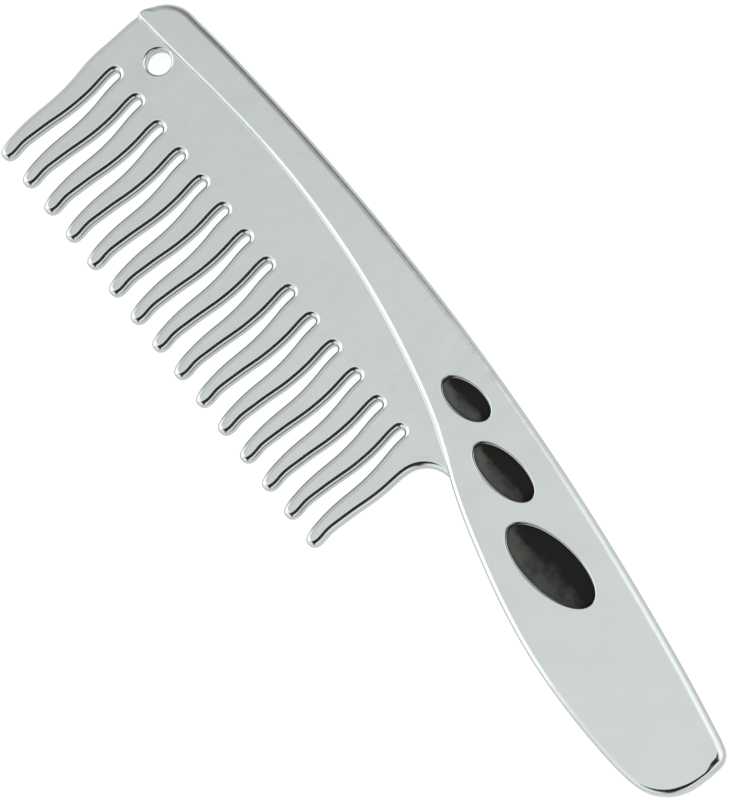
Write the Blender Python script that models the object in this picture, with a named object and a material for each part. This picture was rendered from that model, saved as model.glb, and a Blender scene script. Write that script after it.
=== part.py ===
"""A cast metal mane-and-tail comb with rubber finger pads.

The comb lies flat on its back. X runs along the row of teeth, from the rounded tip end at -X to
the handle at +X. Y points across it, from the teeth at -Y to the spine at +Y. Z is the thickness.
The origin is under the middle of the comb, on the surface that it lies on.

Pieces: one casting (spine, web, teeth and handle) and six oval rubber pads, three let into the
front face and the same three into the back face.

Plan sizes are millimetres, turned into metres by the MM factor where a mesh is made.
"""

import math

import bmesh
import bpy

MM = 0.001

# Driving dimensions of the casting
LENGTH = 230.4
WIDTH = 60.6
SPINE_THICKNESS = 6.0
WEB_THICKNESS = 4.2
SPINE_EDGE_RADIUS = 2.0
WEB_EDGE_RADIUS = 1.6
EDGE_STEPS = 2
TIP_END_X = -LENGTH / 2
HANDLE_END_X = LENGTH / 2
TOOTH_TIP_Y = -WIDTH / 2

# The row of teeth. The shape of one tooth is given at stations from its root to near its tip:
# distance below the slot root, sideways sway of its centre line, and its width.
TOOTH_COUNT = 15
TOOTH_PITCH = 8.67
TOOTH_LENGTH = 34.2
FIRST_TOOTH_X = TIP_END_X + 3.95
SLOT_ROOT_Y = TOOTH_TIP_Y + TOOTH_LENGTH
TOOTH_STATIONS = (
    (1.0, 0.00, 6.75),
    (4.5, 0.40, 6.70),
    (8.0, 1.05, 6.45),
    (12.0, 1.55, 6.00),
    (16.0, 1.72, 5.60),
    (20.5, 1.60, 5.20),
    (25.0, 1.62, 4.80),
    (29.0, 1.95, 4.35),
    (32.0, 2.45, 3.85),
)
TIP_RADIUS = 1.9
TIP_SWAY = 2.65
TIP_STEPS = 4
ROOT_STEPS = 3
ROUND_START = 20

# Upper edge of the spine and handle, from the tip end to the handle end
TOP_EDGE = (
    (-114.9, 19.9),
    (-113.4, 22.6),
    (-111.4, 24.6),
    (-108.9, 25.9),
    (-105.5, 26.5),
    (-98.0, 27.3),
    (-83.0, 28.5),
    (-60.0, 29.8),
    (-36.0, 30.3),
    (-14.0, 30.2),
    (10.0, 29.2),
    (34.5, 27.4),
    (58.0, 24.9),
    (82.0, 21.6),
    (100.0, 18.6),
    (109.0, 16.75),
)
# Lower edge of the spine, which is the step down to the web, and on along the belly of the handle
LOWER_EDGE = (
    (TIP_END_X, 15.9),
    (-102.0, 17.1),
    (-82.0, 19.2),
    (-60.0, 20.3),
    (-42.0, 19.7),
    (-23.0, 17.6),
    (-3.5, 13.8),
    (11.0, 9.7),
    (24.8, 4.1),
    (39.2, -0.4),
    (53.5, -3.9),
    (67.7, -6.2),
    (82.0, -7.1),
    (95.0, -6.95),
    (103.0, -6.25),
)
EDGE_SPANS = 3
# The spine's flat tip end runs from the step up to this point, where the rounded corner starts
TIP_EDGE_POINT = (TIP_END_X, 18.8)
END_TOP_RADIUS = 4.2
END_TOP_CENTRE = (HANDLE_END_X - END_TOP_RADIUS, 12.0)
END_BOTTOM_RADIUS = 11.9
END_BOTTOM_CENTRE = (HANDLE_END_X - 12.05, 5.95)

# The web runs from the slot roots up into the spine, where its two upper corners are buried. At the
# handle its free edge is a hollow curve, the crotch, which takes over from the root end of the
# last tooth's side.
WEB_OVERLAP = 6.0
WEB_TIP_CORNER = (TIP_END_X + 0.25, 18.0)
WEB_HANDLE_CORNER = (26.5, 9.5)
CROTCH = ((14.6, -0.4), (15.6, 1.9), (17.3, 3.7), (19.6, 4.9), (22.4, 5.5), (25.5, 6.2))
CROTCH_SPANS = 2
CROTCH_STATIONS = 2

# Hanging hole
HOLE_CENTRE = (-102.6, 12.95)
HOLE_DIAMETER = 6.3
HOLE_EDGE_RADIUS = 0.6

# Rubber pads: name, centre, half length and half width of the pocket, tilt in degrees
PADS = (
    ("small", (9.7, 19.8), 7.1, 3.85, 10.6),
    ("medium", (29.1, 15.9), 9.3, 4.35, 7.2),
    ("large", (53.5, 10.8), 13.45, 6.05, 8.2),
)
POCKET_DEPTH = 1.7
FIT_GAP = 0.3
PAD_EDGE_DROP = 0.55
PAD_CROWN_DROP = 0.1
# The dome of a pad: share of the half width inside the rim, share of the rise to the crown
PAD_DOME = ((0.0, 0.0), (0.15, 0.5), (0.4, 0.85), (0.7, 1.0))
FACES = (("front", SPINE_THICKNESS, 1), ("back", 0.0, -1))
OVAL_POINTS = 40
CUT_MARGIN = 2.0


def clear_scene():
    for old in list(bpy.data.objects):
        bpy.data.objects.remove(old, do_unlink=True)


def material(name, colour, roughness, metallic):
    made = bpy.data.materials.new(name)
    made.use_nodes = True
    shader = made.node_tree.nodes["Principled BSDF"]
    shader.inputs["Base Color"].default_value = (*colour, 1.0)
    shader.inputs["Roughness"].default_value = roughness
    shader.inputs["Metallic"].default_value = metallic
    return made


def arc(centre, radius, start, end, count):
    """Points on a circle from the start angle to the end angle, in degrees."""
    angles = [math.radians(start + (end - start) * i / count) for i in range(count + 1)]
    return [(centre[0] + radius * math.cos(a), centre[1] + radius * math.sin(a)) for a in angles]


def smooth_path(points, spans):
    """A Catmull-Rom curve through the points, with the given number of pieces per span."""
    path = []
    last = len(points) - 1
    for i in range(last):
        p0, p1 = points[max(i - 1, 0)], points[i]
        p2, p3 = points[i + 1], points[min(i + 2, last)]
        for step in range(spans):
            t = step / spans
            path.append(tuple(
                0.5 * (2 * b + (c - a) * t + (2 * a - 5 * b + 4 * c - d) * t * t
                       + (3 * b - 3 * c + d - a) * t ** 3)
                for a, b, c, d in zip(p0, p1, p2, p3)
            ))
    path.append(tuple(points[-1]))
    return path


def tooth_side(x, side):
    """One side of the tooth whose root is at x, from the root down to the round of the tip."""
    return [
        (x + sway + side * width / 2, SLOT_ROOT_Y - down)
        for down, sway, width in TOOTH_STATIONS
    ]


def tooth(x):
    """The outline of one tooth, down its left side, round its tip and up its right side."""
    centre = (x + TIP_SWAY, TOOTH_TIP_Y + TIP_RADIUS)
    tip = arc(centre, TIP_RADIUS, 180 + ROUND_START, 360 - ROUND_START, TIP_STEPS)
    return tooth_side(x, -1) + tip + tooth_side(x, 1)[::-1]


def slot_root(left_tooth_x):
    """The round top of the slot to the right of a tooth, from that tooth to the next."""
    width = TOOTH_STATIONS[0][2]
    radius = (TOOTH_PITCH - width) / 2
    centre = (left_tooth_x + TOOTH_PITCH / 2, SLOT_ROOT_Y - radius)
    return arc(centre, radius, 180 - ROUND_START, ROUND_START, ROOT_STEPS)


def web_outline():
    """The web and its teeth. Its upper edge lies inside the spine, where the union hides it."""
    upper = [(x, y + WEB_OVERLAP) for x, y in LOWER_EDGE if x < CROTCH[-1][0]]
    upper[0] = WEB_TIP_CORNER
    outline = [WEB_HANDLE_CORNER] + upper[::-1]
    for index in range(TOOTH_COUNT):
        x = FIRST_TOOTH_X + index * TOOTH_PITCH
        outline += tooth(x)
        if index < TOOTH_COUNT - 1:
            outline += slot_root(x)
    return outline[:-CROTCH_STATIONS] + smooth_path(CROTCH, CROTCH_SPANS)


def spine_outline():
    """The spine and handle, anticlockwise from the tip end of the step."""
    outline = smooth_path(LOWER_EDGE, EDGE_SPANS)
    outline += arc(END_BOTTOM_CENTRE, END_BOTTOM_RADIUS, -78, -4, 8)
    outline += arc(END_TOP_CENTRE, END_TOP_RADIUS, 0, 75, 5)
    outline += smooth_path(TOP_EDGE, EDGE_SPANS)[::-1]
    outline.append(TIP_EDGE_POINT)
    return outline


def oval(centre, half_length, half_width, tilt):
    """The points of a tilted ellipse."""
    turn = math.radians(tilt)
    points = []
    for i in range(OVAL_POINTS):
        a = 2 * math.pi * i / OVAL_POINTS
        along, across = half_length * math.cos(a), half_width * math.sin(a)
        points.append((
            centre[0] + along * math.cos(turn) - across * math.sin(turn),
            centre[1] + along * math.sin(turn) + across * math.cos(turn),
        ))
    return points


def circle(centre, radius):
    return arc(centre, radius, 0, 360, OVAL_POINTS)[:-1]


def stacked(name, rings):
    """A closed solid through rings of equal point count, each a list of points and a height."""
    shell = bmesh.new()
    loops = [[shell.verts.new((x * MM, y * MM, z * MM)) for x, y in points] for points, z in rings]
    for low, high in zip(loops, loops[1:]):
        for i in range(len(low)):
            j = (i + 1) % len(low)
            shell.faces.new((low[i], low[j], high[j], high[i]))
    shell.faces.new(loops[0][::-1])
    shell.faces.new(loops[-1])
    bmesh.ops.recalc_face_normals(shell, faces=shell.faces)
    mesh = bpy.data.meshes.new(name)
    shell.to_mesh(mesh)
    shell.free()
    made = bpy.data.objects.new(name, mesh)
    bpy.context.scene.collection.objects.link(made)
    return made


def inset(points, distance):
    """An anticlockwise outline moved into the material, with each corner kept as a mitre."""
    moved = []
    for i, (x, y) in enumerate(points):
        before, after = points[i - 1], points[(i + 1) % len(points)]
        ax, ay = x - before[0], y - before[1]
        bx, by = after[0] - x, after[1] - y
        a, b = math.hypot(ax, ay), math.hypot(bx, by)
        nx, ny = -ay / a - by / b, ax / a + bx / b
        mitre = 2 * distance / (nx * nx + ny * ny)
        moved.append((x + nx * mitre, y + ny * mitre))
    return moved


def plate(name, outline, thickness, edge_radius):
    """A flat plate centred on the comb's middle plane, with its whole rim rounded over."""
    middle, core = SPINE_THICKNESS / 2, thickness / 2 - edge_radius
    rings = []
    for side, steps in ((-1, range(EDGE_STEPS, -1, -1)), (1, range(EDGE_STEPS + 1))):
        for step in steps:
            a = math.pi / 2 * step / EDGE_STEPS
            height = middle + side * (core + edge_radius * math.sin(a))
            rings.append((inset(outline, edge_radius * (1 - math.cos(a))), height))
    return stacked(name, rings)


def as_cutter(made):
    made.hide_render = True
    made.display_type = "WIRE"
    return made


def join(target, other, operation):
    cut = target.modifiers.new(other.name, "BOOLEAN")
    cut.operation = operation
    cut.object = other
    cut.solver = "EXACT"


def hole_cutter():
    """A round drill with flared ends, which round over both rims of the hanging hole."""
    radius, flare = HOLE_DIAMETER / 2, HOLE_EDGE_RADIUS
    low = (SPINE_THICKNESS - WEB_THICKNESS) / 2
    high = SPINE_THICKNESS - low
    rings = (
        (radius + flare, -CUT_MARGIN),
        (radius + flare, low),
        (radius, low + flare),
        (radius, high - flare),
        (radius + flare, high),
        (radius + flare, SPINE_THICKNESS + CUT_MARGIN),
    )
    return stacked("hanging_hole", [(circle(HOLE_CENTRE, r), z) for r, z in rings])


def pocket_cutter(name, centre, half_length, half_width, tilt, face, outwards):
    """An oval plug that sinks the pocket of a pad into the face at the given height."""
    points = oval(centre, half_length, half_width, tilt)
    floor = face - outwards * POCKET_DEPTH
    top = face + outwards * CUT_MARGIN
    return stacked(name, sorted([(points, floor), (points, top)], key=lambda ring: ring[1]))


def pad(name, centre, half_length, half_width, tilt, face, outwards):
    """A rubber oval that fills its pocket, slightly domed and just below the metal face."""
    def ring(shrink, drop):
        inset = FIT_GAP + shrink
        return (oval(centre, half_length - inset, half_width - inset, tilt), face - outwards * drop)

    rise = PAD_EDGE_DROP - PAD_CROWN_DROP
    base = ring(0.0, POCKET_DEPTH - FIT_GAP)
    dome = [ring(half_width * inwards, PAD_EDGE_DROP - up * rise) for inwards, up in PAD_DOME]
    made = stacked(name, [base, *dome])
    made.data.shade_smooth()
    made.data.set_sharp_from_angle(angle=math.radians(40))
    return made


def comb_body(metal):
    body = plate("comb_body", spine_outline(), SPINE_THICKNESS, SPINE_EDGE_RADIUS)
    web = as_cutter(plate("web_and_teeth", web_outline(), WEB_THICKNESS, WEB_EDGE_RADIUS))
    join(body, web, "UNION")
    join(body, as_cutter(hole_cutter()), "DIFFERENCE")
    for label, centre, half_length, half_width, tilt in PADS:
        for side, face, outwards in FACES:
            name = f"{side}_{label}_pocket"
            cutter = pocket_cutter(name, centre, half_length, half_width, tilt, face, outwards)
            join(body, as_cutter(cutter), "DIFFERENCE")
    body.data.materials.append(metal)
    return body


def rubber_pads():
    for side, face, outwards in FACES:
        for label, centre, half_length, half_width, tilt in PADS:
            name = f"{side}_{label}_pad"
            made = pad(name, centre, half_length, half_width, tilt, face, outwards)
            made.data.materials.append(material(f"{name}_rubber", (0.035, 0.035, 0.032), 0.6, 0.0))


def main():
    clear_scene()
    comb_body(material("polished_casting", (0.72, 0.73, 0.71), 0.12, 1.0))
    rubber_pads()


main()
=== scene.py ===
# %% [markdown]
# # A cast metal comb with rubber finger pads
#
# This is a mane-and-tail comb: one polished casting, about as long as a hand and a half, with
# three oval rubber pads let into each face of its handle. The plain model that is loaded first
# has the right sizes, but its edges are coarse. Here each piece gets its fine surface and its
# finish, and the comb is laid on a white table under studio light.

# %% Load the frame
import math

import bpy
import numpy as np
from mathutils import Matrix, Vector


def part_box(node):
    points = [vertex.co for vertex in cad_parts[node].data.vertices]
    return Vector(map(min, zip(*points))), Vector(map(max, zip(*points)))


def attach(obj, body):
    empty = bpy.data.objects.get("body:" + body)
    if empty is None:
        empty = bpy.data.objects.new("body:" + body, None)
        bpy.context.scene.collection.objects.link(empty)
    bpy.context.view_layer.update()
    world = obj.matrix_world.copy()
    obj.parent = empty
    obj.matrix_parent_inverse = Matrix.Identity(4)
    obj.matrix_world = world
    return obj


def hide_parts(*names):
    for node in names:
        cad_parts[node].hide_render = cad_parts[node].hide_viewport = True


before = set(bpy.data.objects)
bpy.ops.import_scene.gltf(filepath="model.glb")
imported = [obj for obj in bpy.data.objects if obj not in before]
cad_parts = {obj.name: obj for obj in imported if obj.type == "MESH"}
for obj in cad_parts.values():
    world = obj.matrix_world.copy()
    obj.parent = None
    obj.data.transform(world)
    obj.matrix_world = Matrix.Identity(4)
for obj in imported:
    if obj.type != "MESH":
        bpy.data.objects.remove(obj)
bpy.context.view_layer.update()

print("nodes:", ", ".join(sorted(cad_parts)))

# %% [markdown]
# ## The camera
#
# A comb lying on a table is looked at from nearly straight above. A long lens from a metre and
# a half away keeps the teeth parallel. The camera leans 15 degrees towards the handle end, so
# the right-hand walls of the teeth show. It is also rolled, which lays the comb across the
# picture from corner to corner. Building the three directions of the camera by hand, and
# putting them in a matrix, is more exact than turning it by trial.

# %% Set up the camera
MM = 0.001
LEAN = math.radians(15.0)
ROLL = math.radians(51.43)
CAMERA_DISTANCE = 1500 * MM
SENSOR_MM = 36.0
LENS_MM = 287.442
AIM = Vector((-6.134, 1.121, 3.0)) * MM


def add_camera():
    """Right and up are the comb's own two directions as the camera sees them, turned by the roll."""
    along = Vector((math.cos(LEAN), 0, -math.sin(LEAN)))
    across = Vector((0, 1, 0))
    back = Vector((math.sin(LEAN), 0, math.cos(LEAN)))
    right = math.cos(ROLL) * along + math.sin(ROLL) * across
    up = math.cos(ROLL) * across - math.sin(ROLL) * along
    data = bpy.data.cameras.new("camera")
    data.sensor_width = SENSOR_MM
    data.lens = LENS_MM
    data.clip_start = 0.05
    camera = bpy.data.objects.new("camera", data)
    turn = Matrix((right, up, back)).transposed().to_4x4()
    camera.matrix_world = Matrix.Translation(AIM + CAMERA_DISTANCE * back) @ turn
    bpy.context.scene.collection.objects.link(camera)
    bpy.context.scene.camera = camera
    print(f"camera: {data.lens:.0f} mm lens, {CAMERA_DISTANCE:.2f} m away")


add_camera()

# %% [markdown]
# ## Curves
#
# Every edge of the casting is a flowing curve, filed and polished by hand. A smooth closed
# spline through a few chosen points gives that. The corners are arcs, whose points go into the
# same spline, so an edge runs into a corner without a kink.

# %% A smooth closed curve


def closed_spline(points, samples):
    """A closed curve through the points, with the given number of samples between two of them.

    Between two points it is a cubic whose slope and bend carry on through every point. With
    chords h, slopes s and bends m, each point asks that
    h0 * m0 + 2 * (h0 + h1) * m1 + h1 * m2 = 6 * (s1 - s0).
    """
    here = np.asarray(points, float)
    there = np.roll(here, -1, axis=0)
    chord = np.linalg.norm(there - here, axis=1)
    before = np.roll(chord, 1)
    slope = (there - here) / chord[:, None]
    row = np.arange(len(here))
    system = np.zeros((len(here), len(here)))
    system[row, row - 1] = before
    system[row, row] = 2 * (before + chord)
    system[row, (row + 1) % len(here)] = chord
    bend = np.linalg.solve(system, 6 * (slope - np.roll(slope, 1, axis=0)))
    t = (np.arange(samples) / samples)[None, :, None]
    start, end = here[:, None], there[:, None]
    bend_start, bend_end = bend[:, None], np.roll(bend, -1, axis=0)[:, None]
    pull = (2 * t - 3 * t ** 2 + t ** 3) * bend_start + (t - t ** 3) * bend_end
    curve = (1 - t) * start + t * end - chord[:, None, None] ** 2 / 6 * pull
    return curve.reshape(-1, 2)


def arc(centre, radius, start, end, count):
    """count points on a circle, from the start angle to the end angle in degrees."""
    angle = np.radians(np.linspace(start, end, count))
    return np.add(centre, radius * np.stack([np.cos(angle), np.sin(angle)], axis=1))


print("a circle through 8 points of a spline is round to",
      f"{np.ptp(np.linalg.norm(closed_spline(arc((0, 0), 1, 0, 315, 8), 8), axis=1)):.4f} of its radius")

# %% [markdown]
# ## The outline of the web and the teeth
#
# The teeth are wavy fingers, all alike: each sways to one side and narrows to a round tip. One
# tooth is described by its sway and its width at a few stations, and a copy is set down for each
# step of the row. A slot between two teeth ends in a small round root. Numpy adds the row of
# places to the shape of one tooth in a single sum.

# %% Measure the casting in the frame
casting_low, casting_high = (np.array(corner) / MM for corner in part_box("comb_body"))
TIP_END_X, TOOTH_TIP_Y = casting_low[:2]
HANDLE_END_X = casting_high[0]
MIDDLE_Z = (casting_low[2] + casting_high[2]) / 2
SPINE_THICKNESS = casting_high[2] - casting_low[2]
WEB_THICKNESS = 4.2
WEB_EDGE_RADIUS = 1.5
print(f"casting: {HANDLE_END_X - TIP_END_X:.1f} mm long, {SPINE_THICKNESS:.1f} mm thick")

# %% The row of teeth
TOOTH_COUNT = 15
TOOTH_PITCH = 8.67
TOOTH_LENGTH = 34.2
FIRST_TOOTH_X = TIP_END_X + 3.95
SLOT_ROOT_Y = TOOTH_TIP_Y + TOOTH_LENGTH
ROOT_WIDTH = 6.75
# Distance below the slot root, sideways sway of the centre line, and width of the tooth
TOOTH_STATIONS = np.array((
    (1.0, 0.00, ROOT_WIDTH),
    (4.5, 0.40, 6.70),
    (8.0, 1.05, 6.45),
    (12.0, 1.55, 6.00),
    (16.0, 1.72, 5.60),
    (20.5, 1.60, 5.20),
    (25.0, 1.62, 4.80),
    (29.0, 1.95, 4.35),
))
TIP_RADIUS = 1.9
TIP_SWAY = 2.65
TIP_START, TIP_END = 197, 350
ROUND_START = 20


def one_tooth():
    """Down the left side, round the tip and up the right side: sway minus or plus half a width."""
    down, sway, width = TOOTH_STATIONS.T
    left = np.stack([sway - width / 2, SLOT_ROOT_Y - down], axis=1)
    right = np.stack([sway + width / 2, SLOT_ROOT_Y - down], axis=1)
    centre = (TIP_SWAY, TOOTH_TIP_Y + TIP_RADIUS)
    tip = arc(centre, TIP_RADIUS, TIP_START, TIP_END, 6)
    return np.concatenate([left, tip, right[::-1]])


def one_slot_root():
    """The round end of the slot to the right of a tooth: half a circle as wide as the slot."""
    radius = (TOOTH_PITCH - ROOT_WIDTH) / 2
    centre = (TOOTH_PITCH / 2, SLOT_ROOT_Y - radius)
    return arc(centre, radius, 180 - ROUND_START, ROUND_START, 4)


def tooth_row():
    """Tooth, root, tooth, root and so on: the shape of one pair plus the place of each pair."""
    pair = np.concatenate([one_tooth(), one_slot_root()])
    places = FIRST_TOOTH_X + TOOTH_PITCH * np.arange(TOOTH_COUNT)
    row = pair[None] + np.stack([places, np.zeros(TOOTH_COUNT)], axis=1)[:, None]
    return row.reshape(-1, 2)[:-len(one_slot_root())]


print(f"tooth row: {TOOTH_COUNT} teeth from {len(tooth_row())} points")

# %% The whole web
# Its upper edge is buried in the spine, so only its two ends need care: the tip end on the left
# and the hollow crotch at the handle, which takes over from the top of the last tooth's side.
BURIED_TIP_END = ((-100.0, 21.0), (-111.0, 20.6), (-113.6, 19.6), (-114.9, 17.0), (-114.9, 9.0))
CROTCH = ((14.6, -0.4), (15.6, 1.9), (17.3, 3.7), (19.6, 4.9), (22.4, 5.5), (25.5, 6.3))
BURIED_TOP = ((28.4, 8.6), (27.0, 12.0), (12.0, 15.4), (-3.5, 17.8), (-23.0, 21.6), (-42.0, 23.7),
              (-60.0, 24.3), (-82.0, 23.0))
CROTCH_STATIONS = 2
WEB_SAMPLES = 4


def web_outline():
    row = tooth_row()[:-CROTCH_STATIONS]
    return closed_spline(np.concatenate([BURIED_TIP_END, row, CROTCH, BURIED_TOP]), WEB_SAMPLES)


print(f"web outline: {len(web_outline())} points")

# %% [markdown]
# ## The outline of the spine and handle
#
# The back of the comb is a long arch that runs on as a flat handle. Its lower edge starts as the
# step where the thick spine drops to the thin web, and goes on as the belly of the handle.

# %% The spine and handle
LOWER_EDGE = ((-102.0, 17.1), (-82.0, 19.2), (-60.0, 20.3), (-42.0, 19.7), (-23.0, 17.6),
              (-3.5, 13.8), (11.0, 9.7), (24.8, 4.1), (39.2, -0.4), (53.5, -3.9), (67.7, -6.2),
              (82.0, -7.1), (93.0, -7.0), (101.0, -6.45))
TOP_EDGE = ((108.0, 17.05), (100.0, 18.6), (82.0, 21.6), (58.0, 24.9), (34.5, 27.4), (10.0, 29.2),
            (-14.0, 30.2), (-36.0, 30.3), (-60.0, 29.8), (-83.0, 28.5), (-98.0, 27.3),
            (-105.5, 26.5))
STEP_CORNER_RADIUS = 1.1
STEP_CORNER = arc((TIP_END_X + 1.13, 17.03), STEP_CORNER_RADIUS, 182, 274, 6)
STEP_START = ((-112.5, 16.07), (-108.5, 16.45))
END_BOTTOM = arc((HANDLE_END_X - 12.05, 5.95), 11.9, -78, -8, 6)
END_MIDDLE = ((HANDLE_END_X - 0.11, 6.6), (HANDLE_END_X - 0.04, 9.5))
END_TOP = arc((HANDLE_END_X - 4.23, 12.0), 4.2, 2, 72, 6)
TIP_CORNER = ((-109.2, 25.85), (-111.4, 24.6), (-113.3, 22.6), (-114.55, 20.2), (-115.1, 18.4))
SPINE_SAMPLES = 12


def spine_outline():
    controls = [STEP_CORNER, STEP_START, LOWER_EDGE, END_BOTTOM, END_MIDDLE, END_TOP, TOP_EDGE,
                TIP_CORNER]
    return closed_spline(np.concatenate(controls), SPINE_SAMPLES)


print(f"spine outline: {len(spine_outline())} points")

# %% [markdown]
# ## From an outline to a plate
#
# A plate with a rounded rim is a stack of rings. Each ring is the outline, moved inwards a
# little and set at its own height, and the two follow a quarter circle. The spine has a second
# rim profile along its step, where the round rolls on into a small fillet and melts into the
# web. The two profiles are mixed along the edge by a weight, so one turns into the other.

# %% Rings around an outline
RIM_STEPS = 10


def inward(outline):
    """At each point of an anticlockwise outline, the way to go for an inset of one millimetre.

    It is the sum of the normals of the two sides that meet there, n1 + n2, made longer at a
    corner: 2 * (n1 + n2) / |n1 + n2| ** 2 keeps both sides the same distance away.
    """
    side = np.roll(outline, -1, axis=0) - outline
    side /= np.linalg.norm(side, axis=1, keepdims=True)
    normal = np.stack([-side[:, 1], side[:, 0]], axis=1)
    both = normal + np.roll(normal, 1, axis=0)
    return 2 * both / np.sum(both ** 2, axis=1, keepdims=True)


def round_rim(radius, half_thickness):
    """Inset and height of a quarter circle, from the middle of the rim up to the flat face. The
    radius is one number, or one for each point of the outline."""
    angle = np.linspace(0, math.pi / 2, RIM_STEPS + 1)[:, None]
    return np.stack([radius * (1 - np.cos(angle)), half_thickness - radius * (1 - np.sin(angle))])


def plate_rings(outline, rim):
    """Rings of x, y, z. rim holds the inset and height for each ring, and for each point too if
    it changes along the edge. The lower half mirrors the upper one."""
    inset, height = rim.reshape(2, rim.shape[1], -1)
    upper = outline[None] + inset[:, :, None] * inward(outline)[None]
    height = np.broadcast_to(height, upper.shape[:2])
    top = np.dstack([upper, MIDDLE_Z + height])
    bottom = np.dstack([upper, MIDDLE_Z - height])
    return np.concatenate([bottom[::-1], top])


def skin(name, rings):
    """A closed mesh over rings that lie on each other, lowest first, with a flat cap at each end."""
    count, around = rings.shape[:2]
    corner = np.arange(count * around).reshape(count, around)
    beside = np.roll(corner, -1, axis=1)
    quads = np.stack([corner[:-1], beside[:-1], beside[1:], corner[1:]], axis=-1).reshape(-1, 4)
    faces = quads.tolist() + [corner[0, ::-1].tolist(), corner[-1].tolist()]
    mesh = bpy.data.meshes.new(name)
    mesh.from_pydata((rings.reshape(-1, 3) * MM).tolist(), [], faces)
    made = bpy.data.objects.new(name, mesh)
    bpy.context.scene.collection.objects.link(made)
    return made


web = skin("web", plate_rings(web_outline(), round_rim(WEB_EDGE_RADIUS, WEB_THICKNESS / 2)))
print(f"web and teeth: {len(web.data.polygons)} faces")

# %% The step profile
# The rim is full along the spine's top, and that radius holds wherever nothing else is said
TOP_EDGE_RADIUS = 2.1
# Along the handle's belly it is tighter: the change starts at the first y and ends at the second
BELLY_EDGE_RADIUS = 1.35
BELLY_BELOW = (12.0, 6.0)
# It is tightest in the middle of the handle's end: past the x of the first pair, above the y of
# the second and below the y of the third
END_EDGE_RADIUS = 0.9
END_BEYOND, END_ABOVE, END_BELOW = (110.0, 114.5), (2.0, 8.0), (12.0, 8.5)
# It is sharp where the step runs out: up to the first distance from that corner, and fading out
# at the second
CORNER_EDGE_RADIUS = 0.65
CORNER_REACH = (1.0, 4.5)
# The step is crisper at the tip end than at the handle: its round and its fillet, at both ends
STEP_ROUND = (0.8, 1.3)
STEP_FILLET = (0.2, 0.35)
SINK = 0.01
# The step fades in over the first stretch of x and out over the second
STEP_STARTS = (-115.1, -114.2)
STEP_ENDS = (14.0, 19.5)
# Points less than this far above the lower edge belong to it
LOWER_BAND = 2.0


def step_rim(radius, fillet):
    """The round edge of the spine rolls into a hollow fillet that ends just under the web's face.

    Two circles touch on the line between their centres. The fillet's centre lies one fillet
    radius above the web, so the slope of that line follows from the two heights.
    """
    web_face = WEB_THICKNESS / 2 - SINK
    round_height = SPINE_THICKNESS / 2 - radius
    touch = np.arcsin((web_face + fillet - round_height) / (radius + fillet))
    fillet_inset = radius - (radius + fillet) * np.cos(touch)
    half = RIM_STEPS // 2
    hollow = np.linspace(np.full_like(touch, -math.pi / 2), -touch, half, endpoint=False)
    swell = np.linspace(touch, np.full_like(touch, math.pi / 2), RIM_STEPS - half)
    inset = [fillet_inset[None], fillet_inset + fillet * np.cos(hollow), radius * (1 - np.cos(swell))]
    height = [
        np.full_like(touch, web_face / 2)[None],
        web_face + fillet * (1 + np.sin(hollow)),
        round_height + radius * np.sin(swell),
    ]
    return np.stack([np.concatenate(inset), np.concatenate(height)])


def fade(x, start, end):
    """0 before start, 1 after end, and an even S between them: 3 t ** 2 - 2 t ** 3."""
    t = np.clip((x - start) / (end - start), 0, 1)
    return t * t * (3 - 2 * t)


def rim_radius(x, y):
    """Moves from one radius to another by a weight that fades in near each place."""
    belly = fade(y, *BELLY_BELOW)
    end = fade(x, *END_BEYOND) * fade(y, *END_ABOVE) * fade(y, *END_BELOW)
    corner_x, corner_y = STEP_CORNER[len(STEP_CORNER) // 2]
    corner = 1 - fade(np.hypot(x - corner_x, y - corner_y), *CORNER_REACH)
    radius = np.full_like(x, TOP_EDGE_RADIUS)
    places = ((belly, BELLY_EDGE_RADIUS), (end, END_EDGE_RADIUS), (corner, CORNER_EDGE_RADIUS))
    for weight, there in places:
        radius += (there - radius) * weight
    return radius


def spine_rim(outline):
    """Mixes the two profiles: only the lower edge has the step, and only between its two ends."""
    x, y = outline.T
    lower = y < np.interp(x, *np.array(LOWER_EDGE).T) + LOWER_BAND
    weight = fade(x, *STEP_STARTS) * fade(x, *STEP_ENDS[::-1]) * lower
    along = fade(x, STEP_STARTS[0], STEP_ENDS[1])
    step = step_rim(np.interp(along, (0, 1), STEP_ROUND), np.interp(along, (0, 1), STEP_FILLET))
    plain = round_rim(rim_radius(x, y), SPINE_THICKNESS / 2)
    return plain * (1 - weight) + step * weight


spine_edge = spine_outline()
spine = skin("spine", plate_rings(spine_edge, spine_rim(spine_edge)))
print(f"spine and handle: {len(spine.data.polygons)} faces")

# %% [markdown]
# ## The hole, the pockets and one casting
#
# The two plates are one piece of metal, so a Boolean union welds them. Cutters take out the
# hanging hole and the six pockets. The real rims are broken and polished, so each cutter flares
# out along a quarter circle where it leaves the metal. A normal weighted by face area then makes
# the big faces read as flat right up to the rounds.

# %% Cutters
HOLE_CENTRE = (-102.6, 12.95)
HOLE_RADIUS = 3.15
HOLE_FLARE = 0.62
POCKET_FLARE = 0.3
POCKET_DEPTH = 1.7
CUT_MARGIN = 1.0
CUT_AROUND = 96
FLARE_STEPS = 6
# The flare stops a little before it is level with the face, so that the cut has a clean edge
FLARE_ANGLES = np.radians(np.linspace(0, 84, FLARE_STEPS))
# Name, half length and half width of the pocket, and its tilt in degrees
PADS = (("small", 7.1, 3.85, 10.6), ("medium", 9.3, 4.35, 7.2), ("large", 13.45, 6.05, 8.2))
FACES = (("front", 1), ("back", -1))


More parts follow.
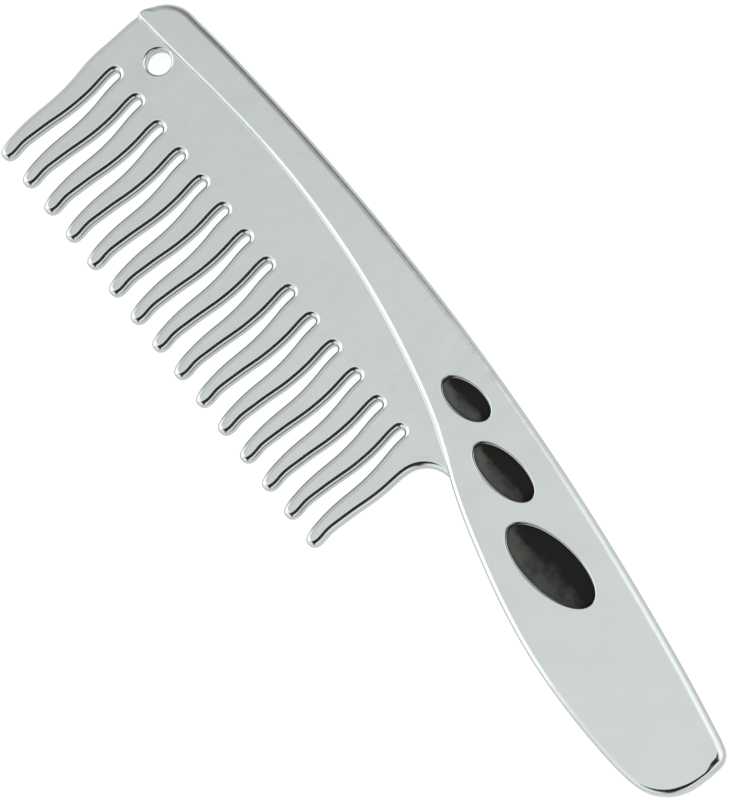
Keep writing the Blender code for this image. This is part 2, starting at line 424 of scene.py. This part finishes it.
def oval_rings(centre, half_length, half_width, tilt, grow, height):
    """Ellipses, each a little larger or smaller than the last: (a + grow) cos t, (b + grow) sin t,
    turned by the tilt. grow and height hold one value for each ring."""
    t = np.linspace(0, 2 * math.pi, CUT_AROUND, endpoint=False)
    along = (half_length + grow[:, None]) * np.cos(t)
    across = (half_width + grow[:, None]) * np.sin(t)
    cos, sin = math.cos(math.radians(tilt)), math.sin(math.radians(tilt))
    x = centre[0] + along * cos - across * sin
    y = centre[1] + along * sin + across * cos
    return np.dstack([x, y, np.broadcast_to(height[:, None], x.shape)])


def flare(radius, face):
    """Growth and height of a cutter's wall where it leaves the metal through a face above it."""
    grow = radius * (1 - np.cos(FLARE_ANGLES))
    height = face - radius * (1 - np.sin(FLARE_ANGLES))
    return np.append(grow, grow[-1]), np.append(height, face + CUT_MARGIN)


def hole_cutter():
    grow, height = flare(HOLE_FLARE, WEB_THICKNESS / 2)
    grow, height = np.append(grow[::-1], grow), np.append(-height[::-1], height)
    return skin("hole", oval_rings(HOLE_CENTRE, HOLE_RADIUS, HOLE_RADIUS, 0, grow, MIDDLE_Z + height))


def pad_centre(side, label):
    low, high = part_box(f"{side}_{label}_pad")
    return tuple((np.array(low) + np.array(high))[:2] / 2 / MM)


def pocket_cutter(side, outwards, label, half_length, half_width, tilt):
    grow, height = flare(POCKET_FLARE, SPINE_THICKNESS / 2)
    grow = np.append(0, grow)
    height = np.append(SPINE_THICKNESS / 2 - POCKET_DEPTH, height)
    centre = pad_centre(side, label)
    rings = oval_rings(centre, half_length, half_width, tilt, grow, MIDDLE_Z + outwards * height)
    return skin(f"{side}_{label}_pocket", rings[::outwards])


cutters = [hole_cutter()]
cutters += [pocket_cutter(side, outwards, *pad) for side, outwards in FACES for pad in PADS]
print("cutters:", ", ".join(cutter.name for cutter in cutters))

# %% Weld and cut
CREASE = math.radians(40)


def boolean(target, other, operation):
    modifier = target.modifiers.new(other.name, "BOOLEAN")
    modifier.operation = operation
    modifier.object = other
    modifier.solver = "EXACT"


def settle(made):
    """Gives an object the mesh that its modifiers make, and takes the modifiers off."""
    view = bpy.context.evaluated_depsgraph_get()
    mesh = bpy.data.meshes.new_from_object(made.evaluated_get(view))
    made.modifiers.clear()
    made.data = mesh
    return made


def remove(objects):
    for old in objects:
        bpy.data.objects.remove(old, do_unlink=True)


def smooth(made):
    """Smooth shading that keeps creases sharp and large flat faces flat."""
    made.data.shade_smooth()
    made.data.set_sharp_from_angle(angle=CREASE)
    weighted = made.modifiers.new("even", "WEIGHTED_NORMAL")
    weighted.mode = "FACE_AREA"
    weighted.keep_sharp = True
    return settle(made)


boolean(spine, web, "UNION")
for cutter in cutters:
    boolean(spine, cutter, "DIFFERENCE")
casting = smooth(settle(spine))
casting.name = casting.data.name = "polished_casting"
remove([web, *cutters])
print(f"casting: {len(casting.data.polygons)} faces, {len(casting.data.vertices)} points")

# %% [markdown]
# ## The rubber pads
#
# Each pad is a soft oval button pressed into its pocket. Its skirt stands a hair's breadth from
# the metal, its shoulder is round, and its top swells gently to just under the metal face. One
# profile of growth and height, carried round the ellipse, gives the whole surface.

# %% Shape the pads
PAD_GAP = 0.22
PAD_CLEARANCE = 0.25
PAD_SHOULDER = 0.35
PAD_EDGE_DROP = 0.65
PAD_CROWN_DROP = 0.1
DOME_STEPS = 14
SHOULDER_STEPS = 6


def pad_profile(half_width):
    """Growth and height of the rings, from the foot to the crown.

    The shoulder is a quarter circle. The dome rises with the square of the way in:
    height = crown - rise * (1 - way in) ** 2.
    """
    turn = np.linspace(0, math.pi / 2, SHOULDER_STEPS, endpoint=False)
    edge = SPINE_THICKNESS / 2 - PAD_EDGE_DROP
    shoulder_grow = -PAD_SHOULDER * (1 - np.cos(turn))
    shoulder_height = edge - PAD_SHOULDER * (1 - np.sin(turn))
    way_in = np.linspace(0, 0.985, DOME_STEPS)
    dome_grow = -PAD_SHOULDER - (half_width - PAD_GAP - PAD_SHOULDER) * way_in
    dome_height = edge + (PAD_EDGE_DROP - PAD_CROWN_DROP) * (1 - (1 - way_in) ** 2)
    foot = SPINE_THICKNESS / 2 - POCKET_DEPTH + PAD_CLEARANCE
    grow = np.concatenate([[0], shoulder_grow, dome_grow])
    height = np.concatenate([[foot], shoulder_height, dome_height])
    return grow, height


def pad(side, outwards, label, half_length, half_width, tilt):
    grow, height = pad_profile(half_width)
    centre = pad_centre(side, label)
    size = half_length - PAD_GAP, half_width - PAD_GAP
    rings = oval_rings(centre, *size, tilt, grow, MIDDLE_Z + outwards * height)
    made = skin(f"{side}_{label}_rubber", rings[::outwards])
    made.data.shade_smooth()
    made.data.set_sharp_from_angle(angle=CREASE)
    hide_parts(f"{side}_{label}_pad")
    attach(made, "root")
    return made


pads = [pad(side, outwards, *sizes) for side, outwards in FACES for sizes in PADS]
print("pads:", ", ".join(made.name for made in pads))

# %% [markdown]
# ## Materials as sums
#
# A material is a small calculation for each point of a surface. Node trees hide that, so here a
# node's output can be added and multiplied in Python like a number, and each sum adds its Math
# node. Any other node comes from one method.

# %% A wire and a shader


class Wire:
    """A node's output. Sums with it, from either side, make Math nodes."""

    def __init__(self, shader, socket):
        self.shader, self.socket = shader, socket

    def math(self, operation, *values):
        return self.shader.add("ShaderNodeMath", {"operation": operation}, enumerate(values))

    def __add__(self, other):
        return self.math("ADD", self, other)

    def __sub__(self, other):
        return self.math("SUBTRACT", self, other)

    def __rsub__(self, other):
        return self.math("SUBTRACT", other, self)

    def __mul__(self, other):
        return self.math("MULTIPLY", self, other)

    def __abs__(self):
        return self.math("ABSOLUTE", self)

    def fade(self, start, end):
        """0 up to start, 1 from end on, and an even S between them."""
        values = {0: self, 1: start, 2: end}
        return self.shader.add("ShaderNodeMapRange", {"interpolation_type": "SMOOTHSTEP"}, values)

    __radd__, __rmul__ = __add__, __mul__


class Shader:
    """A node tree that is filled one node at a time."""

    def __init__(self, tree):
        self.tree = tree
        tree.nodes.clear()

    def add(self, kind, settings=(), values=(), output=0):
        """A node of a kind: its settings first, then a value or a wire for each socket named."""
        node = self.tree.nodes.new(kind)
        for name, value in dict(settings).items():
            setattr(node, name, value)
        for socket, value in dict(values).items():
            if isinstance(value, Wire):
                self.tree.links.new(value.socket, node.inputs[socket])
            else:
                node.inputs[socket].default_value = value
        return Wire(self, node.outputs[output]) if node.outputs else node

    def colour_mix(self, factor, first, second):
        return self.add("ShaderNodeMix", {"data_type": "RGBA"}, {0: factor, 6: first, 7: second}, 2)

    def noise(self, place, scale, detail=2.0, roughness=0.5):
        values = {"Vector": place, "Scale": scale, "Detail": detail, "Roughness": roughness}
        return self.add("ShaderNodeTexNoise", {"normalize": True}, values)

    def place(self, stretch=(1, 1, 1), turn=0.0):
        """The point on the object, in metres, stretched and turned about Z."""
        point = self.add("ShaderNodeTexCoord", output="Object")
        values = {"Vector": point, "Scale": stretch, "Rotation": (0, 0, turn)}
        return self.add("ShaderNodeMapping", {"vector_type": "POINT"}, values)

    def bump(self, height, distance, strength, under=None):
        values = {"Height": height, "Distance": distance, "Strength": strength}
        if under:
            values["Normal"] = under
        return self.add("ShaderNodeBump", {}, values)


def new_material(name):
    made = bpy.data.materials.new(name)
    made.use_nodes = True
    return made, Shader(made.node_tree)


def wear(made, material):
    made.data.materials.clear()
    made.data.materials.append(material)


print("a wire knows these sums:", ", ".join(n for n in vars(Wire) if n.startswith("__r")))

# %% [markdown]
# ## Polished metal
#
# The casting is polished by hand on a wheel. It mirrors the room softly, with a slow swell in
# the surface that makes the mirror image wander, and with fine polishing lines. The rims are
# handled most, and there the polish has gone a little dull in patches.

# %% Make the metal
METAL_COLOUR = (0.560, 0.600, 0.585, 1.0)
METAL_COLOUR_DULL = (0.545, 0.583, 0.568, 1.0)


def polished_metal():
    material, shader = new_material("polished_metal")
    swell = shader.noise(shader.place(), 110.0, 2.0, 0.5)
    ripple = shader.noise(shader.place(), 420.0, 2.0, 0.5)
    lines = shader.noise(shader.place((40, 900, 40), -0.15), 2.2, 3.0, 0.65)
    cloud = shader.noise(shader.place(), 60.0, 3.0, 0.6)
    facing = shader.add("ShaderNodeNewGeometry", output="Normal")
    up = abs(shader.add("ShaderNodeSeparateXYZ", values={0: facing}, output="Z"))
    rim = 1 - up.fade(0.75, 0.99)
    handled = rim * shader.noise(shader.place(), 700.0, 3.0, 0.6).fade(0.45, 0.7)
    colour = shader.colour_mix(cloud.fade(0.35, 0.7), METAL_COLOUR, METAL_COLOUR_DULL)
    roughness = 0.13 + 0.05 * lines + 0.05 * cloud + 0.06 * handled
    surface = shader.bump(swell, 0.0006, 0.13)
    surface = shader.bump(ripple, 0.0001, 0.16, surface)
    surface = shader.bump(lines, 0.00002, 0.25, surface)
    values = {"Base Color": colour, "Metallic": 1.0, "Roughness": roughness, "Normal": surface}
    body = shader.add("ShaderNodeBsdfPrincipled", {}, values)
    shader.add("ShaderNodeOutputMaterial", {}, {"Surface": body})
    return material


wear(casting, polished_metal())
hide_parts("comb_body")
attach(casting, "root")
print("metal:", len(casting.data.materials[0].node_tree.nodes), "nodes")

# %% [markdown]
# ## Rubber
#
# The pads are black rubber from a blasted mould, so they have a fine grain and a low sheen. The slope
# that faces the teeth, towards the soft box, is painted a little greyer in blotchy patches: painted
# light.

# %% Make the rubber
RUBBER_COLOUR = (0.007, 0.0075, 0.006, 1.0)
# Painted light: the grey given to the pad's slope that faces the soft box
RUBBER_PAINTED_LIT = (0.085, 0.088, 0.080, 1.0)
RUBBER_SHINE = 0.14


def grained_rubber():
    material, shader = new_material("grained_rubber")
    grain = shader.noise(shader.place(), 2600.0, 2.0, 0.5)
    blotch = shader.noise(shader.place(), 500.0, 3.0, 0.6)
    cloud = shader.noise(shader.place(), 160.0, 3.0, 0.6)
    facing = shader.add("ShaderNodeNewGeometry", output="Normal")
    slope = {axis: shader.add("ShaderNodeSeparateXYZ", values={0: facing}, output=axis)
             for axis in "XY"}
    # Painted light: the slope facing the teeth and the bright soft box is painted greyer, its edge
    # broken into random blotches by noise
    towards_teeth = 0 - slope["Y"] - 0.5 * slope["X"]
    painted_lit_slope = (towards_teeth + 0.30 * cloud + 0.20 * blotch).fade(0.20, 0.55)
    colour = shader.colour_mix(painted_lit_slope, RUBBER_COLOUR, RUBBER_PAINTED_LIT)
    roughness = 0.42 + 0.16 * blotch
    surface = shader.bump(blotch, 0.0002, 0.35)
    surface = shader.bump(grain, 0.00008, 0.4, surface)
    values = {"Base Color": colour, "Roughness": roughness, "Specular IOR Level": RUBBER_SHINE,
              "Normal": surface}
    body = shader.add("ShaderNodeBsdfPrincipled", {}, values)
    shader.add("ShaderNodeOutputMaterial", {}, {"Surface": body})
    return material


rubber = grained_rubber()
for made in pads:
    wear(made, rubber)
print("rubber:", len(rubber.node_tree.nodes), "nodes on", len(pads), "pads")

# %% [markdown]
# ## The table
#
# The comb lies on a sheet of white acrylic that is lit from below, as small shiny goods often
# are. The sheet glows, so only the faintest contact shadow is left. The walls of the teeth
# mirror it a little dimmer than the camera sees it, which keeps their edges clear of it.

# %% Lay the table
TABLE_SIZE = 4.0
TABLE_SAGS_BELOW = 0.0002
TABLE_GLOW = 0.89
TABLE_WHITE = (0.30, 0.30, 0.30, 1.0)
TABLE_IN_THE_METAL = (0.75, 0.75, 0.76, 1.0)


def glowing_acrylic():
    material, shader = new_material("glowing_acrylic")
    seen = shader.add("ShaderNodeLightPath", output="Is Camera Ray")
    glow = shader.colour_mix(seen, TABLE_IN_THE_METAL, (1.0, 1.0, 1.0, 1.0))
    values = {"Base Color": TABLE_WHITE, "Roughness": 0.9, "Specular IOR Level": 0.0,
              "Emission Color": glow, "Emission Strength": TABLE_GLOW}
    body = shader.add("ShaderNodeBsdfPrincipled", {}, values)
    shader.add("ShaderNodeOutputMaterial", {}, {"Surface": body})
    return material


def add_table():
    corner = np.array([(-1, -1), (1, -1), (1, 1), (-1, 1)]) * TABLE_SIZE / 2
    points = np.column_stack([corner, np.full(4, -TABLE_SAGS_BELOW)])
    mesh = bpy.data.meshes.new("table")
    mesh.from_pydata(points.tolist(), [], [(0, 1, 2, 3)])
    table = bpy.data.objects.new("table", mesh)
    bpy.context.scene.collection.objects.link(table)
    wear(table, glowing_acrylic())


add_table()
print(f"table: {TABLE_SIZE:.0f} m square, glow {TABLE_GLOW}")

# %% [markdown]
# ## The studio
#
# A mirror shows the room, so metal is lit by choosing what stands around it. Over the comb
# hangs a broad pale ceiling. A bright soft box stands in front of the teeth, and a black flag on
# the handle side draws the dark lines along the walls of the teeth. All of them are soft-edged
# patches of a sky, laid out by direction, and the camera itself sees only a plain pale room.

# %% Build the studio sky
BOX_LIGHT = 1.1
STRIP_LIGHT = 0.22
FLAG_DEPTH = 0.985
ROOM_THE_CAMERA_SEES = (0.95, 0.95, 0.95, 1.0)


def studio_sky():
    """Brightness by direction: x and y are the level parts of a direction one unit long."""
    world = bpy.data.worlds.new("studio")
    world.use_nodes = True
    bpy.context.scene.world = world
    shader = Shader(world.node_tree)
    direction = shader.add("ShaderNodeTexCoord", output="Generated")
    split = {axis: shader.add("ShaderNodeSeparateXYZ", values={0: direction}, output=axis)
             for axis in "XY"}
    x, y = split["X"], split["Y"]
    # The ceiling is dimmer towards the tip end and brightest just beside straight up
    ceiling = 0.82 + 0.30 * x.fade(-0.42, -0.19) + 0.25 * x.fade(-0.17, -0.08)
    # In front of the teeth stands a soft box, and beside the handle only a faint strip goes on
    front_box = (0 - y).fade(0.15, 0.34) * (0 - x).fade(0.248, 0.272)
    front_strip = (0 - y).fade(0.30, 0.55) * (1 - (0 - y).fade(0.60, 0.90))
    front_strip = front_strip * x.fade(-0.27, -0.24) * (1 - x.fade(-0.215, -0.195))
    # Behind the spine it is bright beside the handle and falls off to a grey wall at the tip end
    handle_side = x.fade(-0.25, -0.19)
    back_box = handle_side * (0.35 * y.fade(0.25, 0.55) - 0.45 * y.fade(0.80, 0.95))
    back_wall = (1 - handle_side) * (0.45 * y.fade(0.1, 0.6) + 0.35 * y.fade(0.75, 0.98))
    # The flag is a black strip high on the handle side
    strip = x.fade(0.0, 0.07) * (1 - x.fade(0.80, 0.92))
    flag = strip * (1 - y.fade(0.30, 0.55)) * (1 - (0 - y).fade(0.6, 0.8))
    light = ceiling + BOX_LIGHT * front_box + STRIP_LIGHT * front_strip + back_box - back_wall
    light = light * (1 - FLAG_DEPTH * flag)
    seen = shader.add("ShaderNodeLightPath", output="Is Camera Ray")
    colour = shader.colour_mix(seen, light_colour(shader, light), ROOM_THE_CAMERA_SEES)
    glow = shader.add("ShaderNodeBackground", {}, {"Color": colour, "Strength": 1.0})
    shader.add("ShaderNodeOutputWorld", {}, {"Surface": glow})


def light_colour(shader, light):
    """A grey as bright as the number: a vector of three equal parts."""
    return shader.add("ShaderNodeCombineXYZ", {}, {0: light, 1: light, 2: light})


studio_sky()
bpy.context.scene.view_settings.view_transform = "Standard"
print("studio: ceiling, front box, back box and flag")

# %% [markdown]
# ## Finish
#
